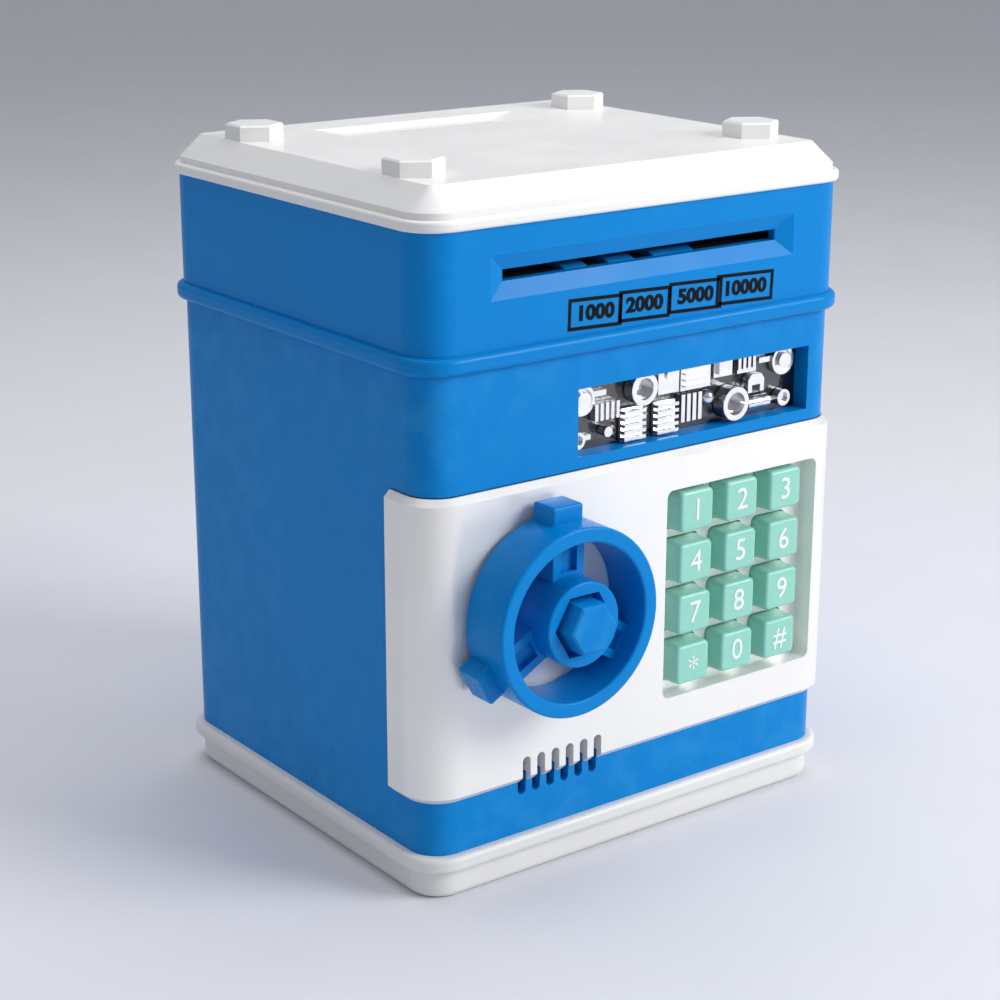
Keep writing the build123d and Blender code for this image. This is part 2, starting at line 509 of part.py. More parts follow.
for name, (x, z) in zip(KEY_NAMES, KEY_PLACES):
    with BuildPart() as key:
        with BuildSketch(Plane.XZ.offset(53.1)):
            with Locations((x, z)):
                RectangleRounded(KEY_W, KEY_H, 1.5)
        with BuildSketch(Plane.XZ.offset(-KEY_FACE_Y)):
            with Locations((x, z)):
                RectangleRounded(KEY_FACE_W, KEY_FACE_H, 1.5)
        loft(ruled=True)
        fillet(key.edges().group_by(Axis.Y)[0], 0.9)
        block(x - KEY_W / 2 - KEY_FLANGE, x + KEY_W / 2 + KEY_FLANGE, -53.1, -52.1,
              z - KEY_H / 2 - KEY_FLANGE, z + KEY_H / 2 + KEY_FLANGE)
    save(key, f"key_{name}")

with BuildPart() as keypad_membrane:
    block(9.0, 53.6, -50.5, -49.5, 38.0, 93.2)
    for x, z in KEY_PLACES:
        rod(x, z, 2.2, -49.6, -49.2)
save(keypad_membrane, "keypad_membrane")

with BuildPart() as keypad_pcb:
    block(7.6, 53.7, -49.2, COVER_Y1 - 1.6, 37.8, 93.4)
save(keypad_pcb, "keypad_pcb")

# ======================= handle and lock =======================


def wheel_box(angle, r0, r1, width, y0, y1, mode=Mode.ADD):
    """A bar that points out of the wheel's centre at an angle in the door's plane."""
    with BuildSketch(Plane.XZ.offset(-y1)) as sketch:
        with Locations(Location((WHEEL_X, WHEEL_Z, 0), (0, 0, angle))):
            with Locations(((r0 + r1) / 2, 0)):
                Rectangle(r1 - r0, width)
    extrude(sketch.sketch, amount=y1 - y0, mode=mode)


def wheel_hexagon(across_flats, y0, y1, mode=Mode.ADD):
    """A hexagon about the wheel's centre with a flat on top."""
    with BuildSketch(Plane.XZ.offset(-y1)) as sketch:
        with Locations((WHEEL_X, WHEEL_Z)):
            RegularPolygon(across_flats / 2, 6, major_radius=False)
    extrude(sketch.sketch, amount=y1 - y0, mode=mode)


def wheel_tab(angle):
    """One rounded grip that stands out of the wheel's ring."""
    with BuildPart() as tab:
        wheel_box(angle, WHEEL_R - 1.8, TAB_R, TAB_W, TAB_FRONT_Y, WHEEL_BACK_Y)
        fillet(tab.edges(), 0.7)
    return tab.part


with BuildPart() as wheel_hub:
    rod(WHEEL_X, WHEEL_Z, HUB_R, HUB_FRONT_Y, WHEEL_BACK_Y)
    fillet(wheel_hub.edges().group_by(Axis.Y)[0], 0.6)

with BuildPart() as handle_wheel:
    rod(WHEEL_X, WHEEL_Z, WHEEL_R, WHEEL_FRONT_Y, WHEEL_BACK_Y)
    rod(WHEEL_X, WHEEL_Z, WHEEL_IN_R, WHEEL_FRONT_Y - 1, WHEEL_BACK_Y + 1, mode=Mode.SUBTRACT)
    fillet(handle_wheel.edges().group_by(Axis.Y)[0], 0.7)
    add(wheel_hub.part)
    for angle in SPOKE_ANGLES:
        wheel_box(angle, HUB_R - 2, WHEEL_IN_R + 1.5, SPOKE_W, SPOKE_FRONT_Y, WHEEL_BACK_Y - 0.2)
        add(wheel_tab(angle))
    for angle in SPOKE_ANGLES:
        wheel_box(angle, HUB_R + 0.8, WHEEL_IN_R - 0.8, SPOKE_W - 4.4, SPOKE_FRONT_Y - 1, SPOKE_FRONT_Y + 1.6,
                  mode=Mode.SUBTRACT)
    wheel_hexagon(HUB_SOCKET_AF, HUB_FRONT_Y - 1, HUB_FRONT_Y + HUB_SOCKET_DEPTH, mode=Mode.SUBTRACT)
    rod(WHEEL_X, WHEEL_Z, SPINDLE_R + 0.01, HUB_FRONT_Y, WHEEL_BACK_Y + 1, mode=Mode.SUBTRACT)
save(handle_wheel, "handle_wheel")

with BuildPart() as handle_bolt:
    wheel_hexagon(BOLT_AF, BOLT_FRONT_Y, HUB_FRONT_Y + HUB_SOCKET_DEPTH)
    chamfer(handle_bolt.edges().group_by(Axis.Y)[0], 0.5)
    rod(WHEEL_X, WHEEL_Z, 1.5, HUB_FRONT_Y + HUB_SOCKET_DEPTH - 1, -60)
save(handle_bolt, "handle_bolt")

with BuildPart() as handle_spindle:
    rod(WHEEL_X, WHEEL_Z, SPINDLE_R, HUB_FRONT_Y + HUB_SOCKET_DEPTH + 0.02, CAM_Y1 - 0.02)
    rod(WHEEL_X, WHEEL_Z, LOCK_DISC_R, LOCK_Y0, LOCK_Y1)
    for angle in (270, 180):
        wheel_box(angle, LOCK_DISC_R - LOCK_NOTCH, LOCK_DISC_R + 1, 4.6, LOCK_Y0 - 1, LOCK_Y1 + 1,
                  mode=Mode.SUBTRACT)
    rod(WHEEL_X, WHEEL_Z, 1.55, HUB_FRONT_Y, -59, mode=Mode.SUBTRACT)
    rod(WHEEL_X, WHEEL_Z, 1.25, -47, CAM_Y1 + 1, mode=Mode.SUBTRACT)
save(handle_spindle, "handle_spindle")

with BuildPart() as latch_cam:
    rod(WHEEL_X, WHEEL_Z, 7.0, CAM_Y0, CAM_Y1)
    wheel_box(90, 0, CAM_LENGTH - CAM_W / 2, CAM_W, CAM_Y0, CAM_Y1)
    rod(WHEEL_X, WHEEL_Z + CAM_LENGTH - CAM_W / 2, CAM_W / 2, CAM_Y0, CAM_Y1)
    rod(WHEEL_X, WHEEL_Z, SPINDLE_R + 0.01, CAM_Y0 - 1, CAM_Y1 + 1, mode=Mode.SUBTRACT)
save(latch_cam, "latch_cam")

with BuildPart() as cam_screw:
    rod(WHEEL_X, WHEEL_Z, 5.0, CAM_Y1, CAM_Y1 + 2.0)
    rod(WHEEL_X, WHEEL_Z, 1.2, CAM_Y1 - 6.0, CAM_Y1 + 0.2)
save(cam_screw, "cam_screw")

LOCK_MID_Y = (LOCK_Y0 + LOCK_Y1) / 2
with BuildPart() as lock_solenoid:
    block(WHEEL_X - 8, WHEEL_X + 8, PLATE_BACK_Y, LOCK_MID_Y + 4, WHEEL_Z - 33.0, WHEEL_Z - 15.2)
    post(WHEEL_X, LOCK_MID_Y, PLUNGER_R + 0.06, WHEEL_Z - 31.5, WHEEL_Z - 15, mode=Mode.SUBTRACT)
save(lock_solenoid, "lock_solenoid")

with BuildPart() as lock_plunger:
    post(WHEEL_X, LOCK_MID_Y, PLUNGER_R, WHEEL_Z - 30.5, WHEEL_Z - LOCK_DISC_R - 0.6)
save(lock_plunger, "lock_plunger")

# ======================= note drive =======================

PINION_Z = DRIVE_Z - (((GEAR_TEETH + PINION_TEETH) * GEAR_MODULE / 2) ** 2 - (MOTOR_Y - DRIVE_Y) ** 2) ** 0.5


def roller_windows(z0, z1, half_y):
    """Cuts the three openings in a guide through which its rollers reach."""
    for x in ROLLER_XS:
        block(x - ROLLER_W / 2 - 0.8, x + ROLLER_W / 2 + 0.8, DRIVE_Y - half_y, DRIVE_Y + half_y, z0, z1,
              mode=Mode.SUBTRACT)


with BuildPart() as note_guide_lower:
    block(-GUIDE_HALF_W, GUIDE_HALF_W, GUIDE_FRONT_Y, GUIDE_BACK_Y, GUIDE_LOW_Z0, GUIDE_LOW_Z1)
    roller_windows(GUIDE_LOW_Z0 - 1, GUIDE_LOW_Z1 + 1, 6.2)
    for x in (-38.0, -12.5, 12.5, 38.0):
        block(x - 0.8, x + 0.8, -53.5, -27.0, GUIDE_LOW_Z0 - 3.0, GUIDE_LOW_Z0 + 0.5)
    axle(DRIVE_Y, DRIVE_Z, SHAFT_R + 0.6, -GUIDE_HALF_W, GUIDE_HALF_W, mode=Mode.SUBTRACT)
    axle(MOTOR_Y, PINION_Z, MOTOR_R + 0.4, 27.0, GUIDE_HALF_W, mode=Mode.SUBTRACT)
save(note_guide_lower, "note_guide_lower")

with BuildPart() as note_ramps:
    for x0, x1 in ((-23.0, -16.0), (-9.4, -1.3), (5.0, 18.0)):
        with BuildSketch(Plane.YZ.offset(x0)):
            with BuildLine():
                Polyline(
                    (GUIDE_FRONT_Y, GUIDE_LOW_Z1),
                    (GUIDE_FRONT_Y, GUIDE_LOW_Z1 + 0.4),
                    (GUIDE_FRONT_Y + 2, GUIDE_LOW_Z1 + 1.1),
                    (-47.5, GUIDE_LOW_Z1 + 1.1),
                    (-47.0, GUIDE_LOW_Z1),
                    close=True,
                )
            make_face()
        extrude(amount=x1 - x0)
save(note_ramps, "note_ramps")

with BuildPart() as note_guide_upper:
    block(-GUIDE_HALF_W, GUIDE_HALF_W, GUIDE_FRONT_Y, GUIDE_BACK_Y, GUIDE_UP_Z0, GUIDE_UP_Z1)
    roller_windows(GUIDE_UP_Z0 - 1, GUIDE_UP_Z1 + 1, 5.6)
    axle(DRIVE_Y, PINCH_Z, SHAFT_R + 0.5, -GUIDE_HALF_W, GUIDE_HALF_W, mode=Mode.SUBTRACT)
    block(LEVER_X - 2.2, LEVER_X + 2.2, LEVER_Y - 3.4, GUIDE_BACK_Y + 1, GUIDE_UP_Z0 - 1, GUIDE_UP_Z1 + 1,
          mode=Mode.SUBTRACT)
    for side in (-1, 1):
        x = LEVER_X + side * 3.4
        block(x - 0.9, x + 0.9, LEVER_Y - 2.4, LEVER_Y + 2.4, GUIDE_UP_Z1 - 0.5, LEVER_Z + 2.4)
    axle(LEVER_Y, LEVER_Z, 1.26, LEVER_X - 5, LEVER_X + 5, mode=Mode.SUBTRACT)
save(note_guide_upper, "note_guide_upper")

with BuildPart() as note_sensor_lever:
    axle(LEVER_Y, LEVER_Z, 1.2, LEVER_X - 4.3, LEVER_X + 4.3)
    axle(LEVER_Y, LEVER_Z, 2.0, LEVER_X - 1.6, LEVER_X + 1.6)
    block(LEVER_X - 1.2, LEVER_X + 1.2, LEVER_Y - 0.9, LEVER_Y + 0.9, LEVER_Z - LEVER_LENGTH, LEVER_Z)
save(note_sensor_lever, "note_sensor_lever")

for side, frame_name in ((-1, "roller_frame_left"), (1, "roller_frame_right")):
    inner, outer = sorted((side * FRAME_X, side * (FRAME_X + FRAME_T)))
    with BuildPart() as frame:
        block(inner, outer, -54.6, -14.0, 136.0, 165.0)
        flange = sorted((side * FRAME_X, side * 56.0))
        for z in FRAME_SCREW_ZS:
            block(flange[0], flange[1], -54.6, -53.0, z - 2.6, z + 2.6)
            rod(side * 53.0, z, 1.4, -56, -52, mode=Mode.SUBTRACT)
        for z in (DRIVE_Z, PINCH_Z):
            axle(DRIVE_Y, z, 3.22, inner - 1, outer + 1, mode=Mode.SUBTRACT)
        if side > 0:
            axle(MOTOR_Y, PINION_Z, 3.0, inner - 1, outer + 1, mode=Mode.SUBTRACT)
    save(frame, frame_name)

with BuildPart() as frame_screws:
    for x in (-53.0, 53.0):
        for z in FRAME_SCREW_ZS:
            rod(x, z, 1.2, -57.6, -52.95)
            rod(x, z, 2.2, -53.0, -51.5)
save(frame_screws, "frame_screws")

with BuildPart() as shaft_bushes:
    for x in (-FRAME_X - FRAME_T - 0.6, GUIDE_HALF_W):
        for z in (DRIVE_Z, PINCH_Z):
            axle(DRIVE_Y, z, 3.2, x, x + FRAME_T + 0.8)
            axle(DRIVE_Y, z, SHAFT_R + 0.05, x - 1, x + FRAME_T + 2, mode=Mode.SUBTRACT)
save(shaft_bushes, "shaft_bushes")

with BuildPart() as drive_shaft:
    axle(DRIVE_Y, DRIVE_Z, SHAFT_R, -52.0, 56.5)
save(drive_shaft, "drive_shaft")

with BuildPart() as pinch_shaft:
    axle(DRIVE_Y, PINCH_Z, SHAFT_R, -51.0, 51.0)
save(pinch_shaft, "pinch_shaft")

for shaft_z, radius, roller_name in ((DRIVE_Z, ROLLER_R, "drive_rollers"), (PINCH_Z, PINCH_R, "pinch_rollers")):
    with BuildPart() as rollers:
        for x in ROLLER_XS:
            axle(DRIVE_Y, shaft_z, radius, x - ROLLER_W / 2, x + ROLLER_W / 2)
            axle(DRIVE_Y, shaft_z, SHAFT_R + 0.005, x - ROLLER_W, x + ROLLER_W, mode=Mode.SUBTRACT)
        chamfer(rollers.edges().filter_by(GeomType.CIRCLE).filter_by(lambda e: e.radius > SHAFT_R + 1), 0.4)
    save(rollers, roller_name)

MESH_ANGLE = degrees(atan2(PINION_Z - DRIVE_Z, MOTOR_Y - DRIVE_Y))
GEAR_X0 = FRAME_X + FRAME_T + 1.6
with BuildPart() as drive_gear:
    gear(DRIVE_Y, DRIVE_Z, GEAR_TEETH, MESH_ANGLE, GEAR_X0, GEAR_X0 + GEAR_W)
    axle(DRIVE_Y, DRIVE_Z, SHAFT_R + 0.005, GEAR_X0 - 1, GEAR_X0 + GEAR_W + 1, mode=Mode.SUBTRACT)
save(drive_gear, "drive_gear")

with BuildPart() as motor_pinion:
    gear(MOTOR_Y, PINION_Z, PINION_TEETH, MESH_ANGLE + 180 + 180 / PINION_TEETH, GEAR_X0, GEAR_X0 + GEAR_W)
    axle(MOTOR_Y, PINION_Z, 1.0, FRAME_X - 1, GEAR_X0 + GEAR_W + 0.6)
save(motor_pinion, "motor_pinion")

with BuildPart() as motor:
    axle(MOTOR_Y, PINION_Z, MOTOR_R, FRAME_X - 0.2 - MOTOR_L, FRAME_X - 0.2)
    axle(MOTOR_Y, PINION_Z, 2.8, FRAME_X - 0.3, FRAME_X + 1.2)
    axle(MOTOR_Y, PINION_Z, 1.1, FRAME_X - 2, FRAME_X + 2, mode=Mode.SUBTRACT)
    axle(MOTOR_Y, PINION_Z, 3.0, FRAME_X - 2.2 - MOTOR_L, FRAME_X - MOTOR_L)
save(motor, "motor")

# ======================= electronics and base =======================

with BuildPart() as main_pcb:
    block(-HALF_W + WALL, -62.8, -40, 22, 141.5, 158.0)
    block(-62.8, -60.6, -30, -16, 144.0, 152.0)
    block(-62.8, -59.0, -6, 2, 144.0, 156.0)
    block(-62.8, -61.2, 8, 18, 146.0, 150.0)
save(main_pcb, "main_pcb")

with BuildPart() as speaker:
    with BuildSketch(Plane.XZ.offset(HALF_D - LOWER_INSET - WALL)):
        with Locations((-26.6, 20.0)):
            SlotOverall(30.0, 10.0)
    extrude(amount=-3.0)
    rod(-26.6, 20.0, 4.6, -53.2, -49.4)
save(speaker, "speaker")

with BuildPart() as battery_cells:
    for row in (-1, 0, 1):
        axle(BATTERY_Y + row * CELL_PITCH, CELL_Z, CELL_R, -CELL_L / 2, CELL_L / 2 - 1.4)
        axle(BATTERY_Y + row * CELL_PITCH, CELL_Z, 2.6, CELL_L / 2 - 1.5, CELL_L / 2)
save(battery_cells, "battery_cells")

with BuildPart() as battery_contacts:
    for row in (-1, 0, 1):
        y = BATTERY_Y + row * CELL_PITCH
        block(-29.1, -28.6, y - 5, y + 5, 4.5, 15.0)
        block(28.6, 29.1, y - 5, y + 5, 4.5, 15.0)
        axle(y, CELL_Z, 3.4, -28.7, -CELL_L / 2 - 0.1)
        axle(y, CELL_Z, 2.2, CELL_L / 2 + 0.1, 28.7)
save(battery_contacts, "battery_contacts")

with BuildPart() as battery_door:
    block(-31.9, 31.9, 2.9, 55.1, 0.6, 1.9)
    for x in (-8, -4, 0, 4, 8):
        block(x - 0.8, x + 0.8, 46.0, 53.0, 0.3, 0.7)
    post(0, 5.6, 1.5, -1, 3, mode=Mode.SUBTRACT)
save(battery_door, "battery_door")

with BuildPart() as battery_door_screw:
    post(0, 5.6, 1.2, 0.5, 9.0)
    post(0, 5.6, 2.3, 0.3, 0.6)
save(battery_door_screw, "battery_door_screw")
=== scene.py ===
"""Looks for the toy savings bank: materials, printed legends, studio and camera."""
import math

import bmesh
import bpy
from mathutils import Matrix, Vector


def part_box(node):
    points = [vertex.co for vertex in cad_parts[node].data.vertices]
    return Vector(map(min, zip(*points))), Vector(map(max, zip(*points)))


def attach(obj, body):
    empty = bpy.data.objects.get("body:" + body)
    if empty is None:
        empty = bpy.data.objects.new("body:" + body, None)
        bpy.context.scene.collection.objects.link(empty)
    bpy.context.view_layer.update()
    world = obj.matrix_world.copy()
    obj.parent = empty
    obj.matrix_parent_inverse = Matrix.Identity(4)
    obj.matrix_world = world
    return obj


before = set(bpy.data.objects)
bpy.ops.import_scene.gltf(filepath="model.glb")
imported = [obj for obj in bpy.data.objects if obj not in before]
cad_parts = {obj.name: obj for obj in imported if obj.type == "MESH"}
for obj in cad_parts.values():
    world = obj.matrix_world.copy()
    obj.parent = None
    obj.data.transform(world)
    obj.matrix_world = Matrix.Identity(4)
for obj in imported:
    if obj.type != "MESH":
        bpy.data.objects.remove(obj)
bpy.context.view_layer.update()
MM = 0.001

# ---------------------------------------------------------------- camera
CAMERA_AT = Vector((-346.2, -458.6, 258.0)) * MM
YAW, PITCH, ROLL = math.radians(-36.97), math.radians(-17.42), math.radians(0.1)
LENS, SENSOR = 79.3, 36.0
CLIP_START = 0.01

forward = Vector((
    -math.sin(YAW) * math.cos(PITCH),
    math.cos(YAW) * math.cos(PITCH),
    math.sin(PITCH),
))
camera = bpy.data.objects.new("camera", bpy.data.cameras.new("camera"))
camera.data.lens = LENS
camera.data.sensor_width = SENSOR
camera.data.clip_start = CLIP_START
turn = forward.to_track_quat("-Z", "Y").to_matrix().to_4x4()
camera.matrix_world = Matrix.Translation(CAMERA_AT) @ turn @ Matrix.Rotation(ROLL, 4, "Z")
bpy.context.scene.collection.objects.link(camera)
bpy.context.scene.camera = camera


# ---------------------------------------------------------------- materials
def new_material(name):
    """A node material and its shader."""
    material = bpy.data.materials.new(name)
    material.use_nodes = True
    return material, material.node_tree, material.node_tree.nodes["Principled BSDF"]


def noise(tree, scale, detail=3.0, stretch=None):
    """A noise texture in the object's own coordinates."""
    coords = tree.nodes.new("ShaderNodeTexCoord")
    texture = tree.nodes.new("ShaderNodeTexNoise")
    texture.inputs["Scale"].default_value = scale
    texture.inputs["Detail"].default_value = detail
    source = coords.outputs["Object"]
    if stretch:
        mapping = tree.nodes.new("ShaderNodeMapping")
        mapping.inputs["Scale"].default_value = stretch
        tree.links.new(source, mapping.inputs["Vector"])
        source = mapping.outputs["Vector"]
    tree.links.new(source, texture.inputs["Vector"])
    return texture.outputs["Fac"]


def ramp(tree, source, stops):
    """Colours or values along a ramp."""
    node = tree.nodes.new("ShaderNodeValToRGB")
    elements = node.color_ramp.elements
    while len(elements) < len(stops):
        elements.new(0.5)
    for element, (place, value) in zip(elements, stops):
        element.position = place
        rgb = (value,) * 3 if isinstance(value, float) else value
        element.color = (*rgb, 1)
    tree.links.new(source, node.inputs["Fac"])
    return node.outputs["Color"]


def shade(colour, factor):
    """A colour made lighter or darker."""
    return tuple(min(1.0, c * factor) for c in colour)


COAT_ROUGHNESS = 0.12
GRAIN_DEPTH = 0.2 * MM
ROUGH_VARY = 0.06


def finish_material(
    name, colour, rough, metallic=0.0, grain=900.0, bump=0.05, vary=0.05,
    coat=0.0, stretch=None, wear=0.0, wear_colour=(0.8, 0.8, 0.8), specular=0.5,
):
    """Moulded, painted or plated stuff.

    Broad tone change, fine grain and uneven gloss, and edges rubbed to wear_colour where wear
    is above zero.
    """
    material, tree, shader = new_material(name)
    broad = noise(tree, 22.0, 4.0)
    tone = ramp(tree, broad, [(0.3, shade(colour, 1 - vary)), (0.7, shade(colour, 1 + vary))])
    if wear:
        geometry = tree.nodes.new("ShaderNodeNewGeometry")
        edge = ramp(tree, geometry.outputs["Pointiness"], [(0.52, 0.0), (0.60, 1.0)])
        patchy = ramp(tree, noise(tree, 120.0, 5.0), [(0.45, 0.0), (0.62, wear)])
        amount = tree.nodes.new("ShaderNodeMath")
        amount.operation = "MULTIPLY"
        tree.links.new(edge, amount.inputs[0])
        tree.links.new(patchy, amount.inputs[1])
        mix = tree.nodes.new("ShaderNodeMix")
        mix.data_type = "RGBA"
        tree.links.new(amount.outputs[0], mix.inputs["Factor"])
        tree.links.new(tone, mix.inputs["A"])
        mix.inputs["B"].default_value = (*wear_colour, 1)
        tone = mix.outputs["Result"]
    tree.links.new(tone, shader.inputs["Base Color"])
    gloss = ramp(tree, noise(tree, 60.0, 4.0, stretch),
                 [(0.3, rough - ROUGH_VARY), (0.7, rough + ROUGH_VARY)])
    tree.links.new(gloss, shader.inputs["Roughness"])
    shader.inputs["Metallic"].default_value = metallic
    shader.inputs["Specular IOR Level"].default_value = specular
    shader.inputs["Coat Weight"].default_value = coat
    shader.inputs["Coat Roughness"].default_value = COAT_ROUGHNESS
    height = tree.nodes.new("ShaderNodeBump")
    height.inputs["Strength"].default_value = bump
    height.inputs["Distance"].default_value = GRAIN_DEPTH
    tree.links.new(noise(tree, grain, 2.0, stretch), height.inputs["Height"])
    tree.links.new(height.outputs["Normal"], shader.inputs["Normal"])
    return material


BLUE = (0.0, 0.215, 0.60)
BLUE_RUBBED = (0.05, 0.34, 0.75)
WHITE = (0.83, 0.83, 0.82)
PEARL_RUBBED = (0.88, 0.88, 0.88)

blue = finish_material(
    "blue_plastic", BLUE, 0.32, grain=1400, vary=0.02, wear=0.2, wear_colour=BLUE_RUBBED,
    specular=0.12)
blue_matt = finish_material("blue_inside", (0.0, 0.16, 0.46), 0.5, grain=1400, bump=0.08)
white = finish_material("white_plastic", WHITE, 0.34, grain=1400, vary=0.015, coat=0.1)
white_matt = finish_material(
    "white_base", (0.76, 0.76, 0.75), 0.42, grain=1600, bump=0.08, vary=0.03)
pearl = finish_material(
    "pearl_paint", (0.88, 0.87, 0.85), 0.36, metallic=0.3, grain=5200, bump=0.08, vary=0.02,
    coat=0.2, wear=0.3, wear_colour=PEARL_RUBBED)
grey_matt = finish_material("grey_inside", (0.33, 0.34, 0.36), 0.5, grain=1500, bump=0.08)
mint = finish_material("mint_key", (0.27, 0.63, 0.52), 0.34, grain=1800, vary=0.03, coat=0.15)
ink_white = finish_material(
    "white_ink", (0.86, 0.88, 0.88), 0.45, grain=2600, bump=0.04, vary=0.02)
ink_black = finish_material(
    "black_ink", (0.004, 0.004, 0.005), 0.5, grain=2600, bump=0.04, vary=0.1, specular=0.1)
dark = finish_material(
    "dark_plastic", (0.02, 0.021, 0.024), 0.45, grain=1600, bump=0.08, vary=0.12)
steel = finish_material(
    "turned_steel", (0.52, 0.52, 0.54), 0.28, metallic=1.0, grain=400, bump=0.06,
    stretch=(6.0, 1.0, 1.0))
rubber_blue = finish_material("blue_rubber", (0.0, 0.16, 0.50), 0.62, grain=2400, bump=0.16)
silicone = finish_material("silicone", (0.55, 0.58, 0.55), 0.6, grain=1600, bump=0.08)
board = finish_material(
    "green_board", (0.02, 0.16, 0.07), 0.35, grain=600, bump=0.06, vary=0.15)
acetal = finish_material("acetal", (0.78, 0.76, 0.70), 0.38, grain=1400)
cell_wrap = finish_material(
    "cell_wrap", (0.03, 0.04, 0.05), 0.25, grain=900, bump=0.03, coat=0.4)

# the relief plate: how far its ground lies in front of its back, and where chrome takes over
# from the painted shade on the ground
RELIEF_GROUND = 1.5 * MM
GROUND_SHADE_END, CHROME_START = 0.25 * MM, 0.6 * MM
# the dark ground colour is painted shade, standing in for the chrome ground lying in shade
GROUND_SHADE, CHROME = (0.10, 0.10, 0.105), (0.74, 0.75, 0.77)
RELIEF_GRAIN_DEPTH = 0.5 * MM


def relief_material():
    """Chrome on the raised parts of the relief plate, and dark painted shade on its ground,
    which is chrome in shade.
    """
    material, tree, shader = new_material("chrome_relief")
    coords = tree.nodes.new("ShaderNodeTexCoord")
    split = tree.nodes.new("ShaderNodeSeparateXYZ")
    tree.links.new(coords.outputs["Object"], split.inputs[0])
    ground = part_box("window_relief")[1][1] - RELIEF_GROUND
    raised = tree.nodes.new("ShaderNodeMapRange")
    raised.inputs["From Min"].default_value = ground - GROUND_SHADE_END
    raised.inputs["From Max"].default_value = ground - CHROME_START
    tree.links.new(split.outputs["Y"], raised.inputs["Value"])
    mix = tree.nodes.new("ShaderNodeMix")
    mix.data_type = "RGBA"
    # painted shade on the ground, chrome on the raised parts
    mix.inputs["A"].default_value = (*GROUND_SHADE, 1)
    mix.inputs["B"].default_value = (*CHROME, 1)
    tree.links.new(raised.outputs["Result"], mix.inputs["Factor"])
    tree.links.new(mix.outputs["Result"], shader.inputs["Base Color"])
    shader.inputs["Metallic"].default_value = 0.95
    gloss = ramp(tree, noise(tree, 300.0, 3.0), [(0.3, 0.10), (0.7, 0.24)])
    tree.links.new(gloss, shader.inputs["Roughness"])
    height = tree.nodes.new("ShaderNodeBump")
    height.inputs["Strength"].default_value = 0.35
    height.inputs["Distance"].default_value = RELIEF_GRAIN_DEPTH
    tree.links.new(noise(tree, 420.0, 3.0), height.inputs["Height"])
    tree.links.new(height.outputs["Normal"], shader.inputs["Normal"])
    return material


LOOKS = {
    blue: (
        "main_housing", "upper_housing", "handle_wheel", "handle_bolt", "note_ramps",
        "latch_strike"),
    blue_matt: ("compartment_floor",),
    white: ("lid", "hex_caps"),
    white_matt: ("base_tray", "battery_door"),
    pearl: ("door_shell",),
    grey_matt: ("door_back_cover", "note_sensor_lever"),
    relief_material(): ("window_relief",),
    dark: (
        "handle_spindle", "note_guide_lower", "note_guide_upper", "roller_frame_left",
        "roller_frame_right", "speaker"),
    steel: (
        "latch_cam", "lock_solenoid", "lock_plunger", "drive_shaft", "pinch_shaft", "motor",
        "battery_contacts", "base_screws", "lid_screws", "hinge_pins", "frame_screws",
        "cover_screws", "cam_screw", "battery_door_screw"),
    rubber_blue: ("drive_rollers", "pinch_rollers"),
    silicone: ("keypad_membrane",),
    board: ("keypad_pcb", "main_pcb"),
    acetal: ("drive_gear", "motor_pinion", "shaft_bushes"),
    cell_wrap: ("battery_cells",),
    mint: tuple(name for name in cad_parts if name.startswith("key_")),
}
for material, names in LOOKS.items():
    for node_name in names:
        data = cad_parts[node_name].data
        data.materials.clear()
        data.materials.append(material)


# ---------------------------------------------------------------- printed legends
INK_HALF_DEPTH = 0.07 * MM


def text(name, characters, at, height, material, body, tilt=0.0, weight=0.0, widen=1.0):
    """Raised lettering that faces the front."""
    curve = bpy.data.curves.new(name, "FONT")
    curve.body = characters
    curve.align_x, curve.align_y = "CENTER", "CENTER"
    curve.size = height
    curve.extrude = INK_HALF_DEPTH
    curve.offset = weight
    curve.resolution_u = 4
    curve.materials.append(material)
    piece = bpy.data.objects.new(name, curve)
    upright = Matrix.Rotation(tilt, 4, "Y") @ Matrix.Rotation(math.pi / 2, 4, "X")
    piece.matrix_world = Matrix.Translation(at) @ upright @ Matrix.Diagonal((widen, 1, 1, 1))
    bpy.context.scene.collection.objects.link(piece)
    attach(piece, body)


LEGEND_H, LEGEND_PROUD = 8.2 * MM, 0.05 * MM
STAR_DROP = 1.6 * MM  # the font sets its star high

for key_name in ("1", "2", "3", "4", "5", "6", "7", "8", "9", "star", "0", "hash"):
    node_name = f"key_{key_name}"
    low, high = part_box(node_name)
    mark = {"star": "*", "hash": "#"}.get(key_name, key_name)
    drop = STAR_DROP if key_name == "star" else 0.0
    at = ((low[0] + high[0]) / 2, low[1] - LEGEND_PROUD, (low[2] + high[2]) / 2 - drop)
    text(f"legend_{key_name}", mark, at, LEGEND_H, ink_white, node_name)

BAND_PROUD = 1.8 * MM  # the band round the upper housing stands out this far
UPPER_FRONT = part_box("upper_housing")[0][1] + BAND_PROUD
LABEL_TILT = math.radians(2.0)
LABEL_Z, LABEL_H, LABEL_LINE, LABEL_PROUD = 142.9 * MM, 7.8 * MM, 0.85 * MM, 0.12 * MM
VALUE_H, VALUE_PROUD, VALUE_WEIGHT, VALUE_WIDEN = 5.0 * MM, 0.04 * MM, 0.22 * MM, 1.18
# value, centre and width along X
LABELS = (
    ("1000", -16.9 * MM, 16.7 * MM),
    ("2000", -1.4 * MM, 16.5 * MM),
    ("5000", 15.2 * MM, 17.6 * MM),
    ("10000", 31.8 * MM, 19.4 * MM),
)


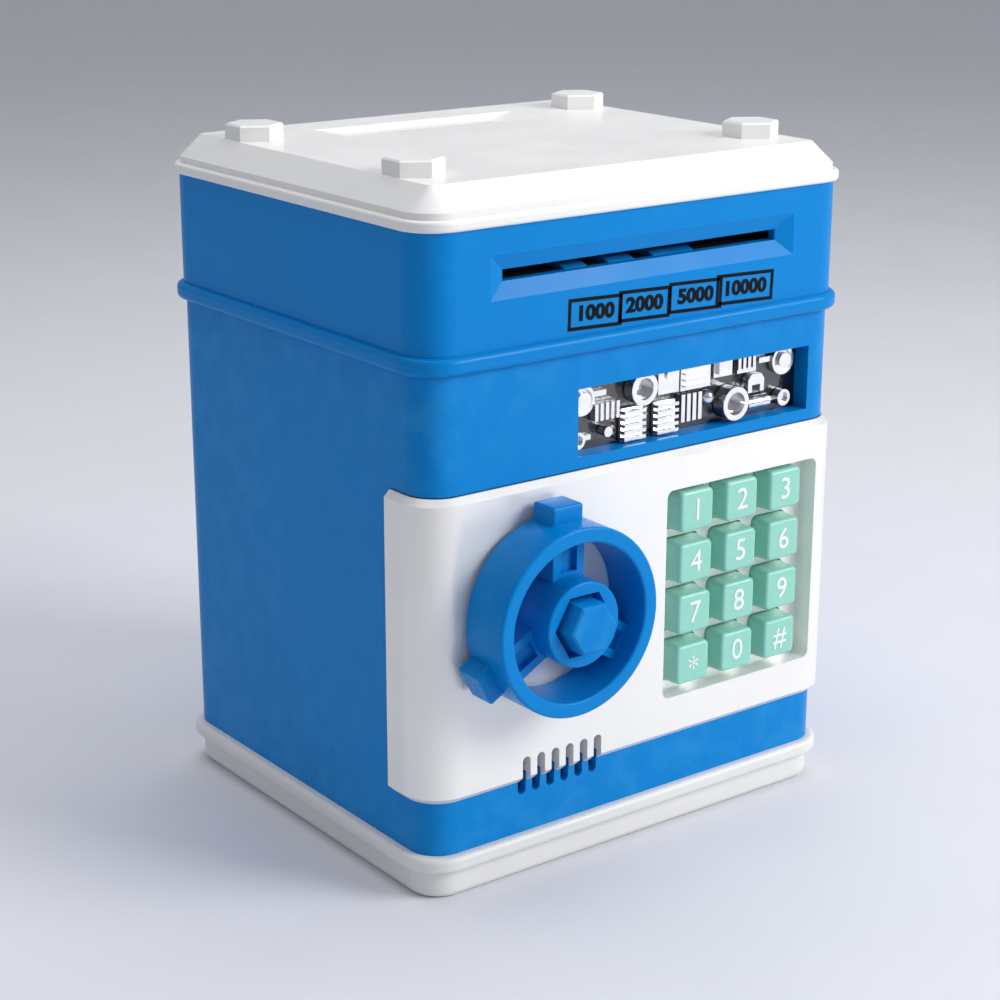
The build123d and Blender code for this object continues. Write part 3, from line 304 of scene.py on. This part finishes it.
def label_frame(name, x, width):
    """A thin printed rectangle."""
    mesh = bpy.data.meshes.new(name)
    made = bmesh.new()
    rings = []
    profile = ((0, 0), (0, -LABEL_PROUD), (LABEL_LINE, -LABEL_PROUD), (LABEL_LINE, 0))
    for inset, depth in profile:
        w, h = width / 2 - inset, LABEL_H / 2 - inset
        around = ((-w, -h), (w, -h), (w, h), (-w, h))
        rings.append([made.verts.new((px, depth, pz)) for px, pz in around])
    for a, b in zip(rings, rings[1:] + rings[:1]):
        for i in range(4):
            made.faces.new((a[i], a[(i + 1) % 4], b[(i + 1) % 4], b[i]))
    bmesh.ops.recalc_face_normals(made, faces=made.faces)
    made.to_mesh(mesh)
    made.free()
    mesh.materials.append(ink_black)
    piece = bpy.data.objects.new(name, mesh)
    place = Matrix.Translation((x, UPPER_FRONT, LABEL_Z))
    piece.matrix_world = place @ Matrix.Rotation(LABEL_TILT, 4, "Y")
    bpy.context.scene.collection.objects.link(piece)
    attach(piece, "casing")


for value, x, width in LABELS:
    label_frame(f"value_frame_{value}", x, width)
    text(
        f"value_{value}", value, (x, UPPER_FRONT - VALUE_PROUD, LABEL_Z), VALUE_H, ink_black,
        "casing", tilt=LABEL_TILT, weight=VALUE_WEIGHT, widen=VALUE_WIDEN)


# ---------------------------------------------------------------- studio
CENTRE = Vector((0, 0, 0.09))
FLOOR_HALF = 4.0
SKY = [(0.0, (0.50, 0.52, 0.58)), (0.25, (0.62, 0.64, 0.70)), (0.9, (0.85, 0.86, 0.9))]
SKY_STRENGTH = 0.5


def area_light(name, at, size, power, colour=(1, 1, 1)):
    """A square soft lamp that faces the object."""
    data = bpy.data.lights.new(name, "AREA")
    data.size = size
    data.energy = power
    data.color = colour
    lamp = bpy.data.objects.new(name, data)
    aim = (CENTRE - Vector(at)).to_track_quat("-Z", "Y").to_matrix().to_4x4()
    lamp.matrix_world = Matrix.Translation(at) @ aim
    bpy.context.scene.collection.objects.link(lamp)


area_light("key_light", (0.62, -0.85, 0.62), 0.55, 10.6, (1.0, 0.99, 0.97))
area_light("top_light", (0.05, 0.15, 0.95), 0.8, 4.2)
area_light("left_fill", (-0.85, -0.15, 0.45), 0.5, 0.2, (0.97, 0.98, 1.0))

floor_mesh = bpy.data.meshes.new("floor")
sweep = bmesh.new()
bmesh.ops.create_grid(sweep, x_segments=1, y_segments=1, size=FLOOR_HALF)
sweep.to_mesh(floor_mesh)
sweep.free()
floor_material = finish_material(
    "floor_paper", (0.72, 0.73, 0.78), 0.7, grain=500, bump=0.02, vary=0.01)
floor_mesh.materials.append(floor_material)
floor = bpy.data.objects.new("floor", floor_mesh)
bpy.context.scene.collection.objects.link(floor)

world = bpy.data.worlds.new("studio")
world.use_nodes = True
bpy.context.scene.world = world
tree = world.node_tree
coords = tree.nodes.new("ShaderNodeTexCoord")
split = tree.nodes.new("ShaderNodeSeparateXYZ")
tree.links.new(coords.outputs["Generated"], split.inputs[0])
sky = ramp(tree, split.outputs["Z"], SKY)
tree.links.new(sky, tree.nodes["Background"].inputs["Color"])
tree.nodes["Background"].inputs["Strength"].default_value = SKY_STRENGTH
bpy.context.scene.view_settings.view_transform = "Standard"
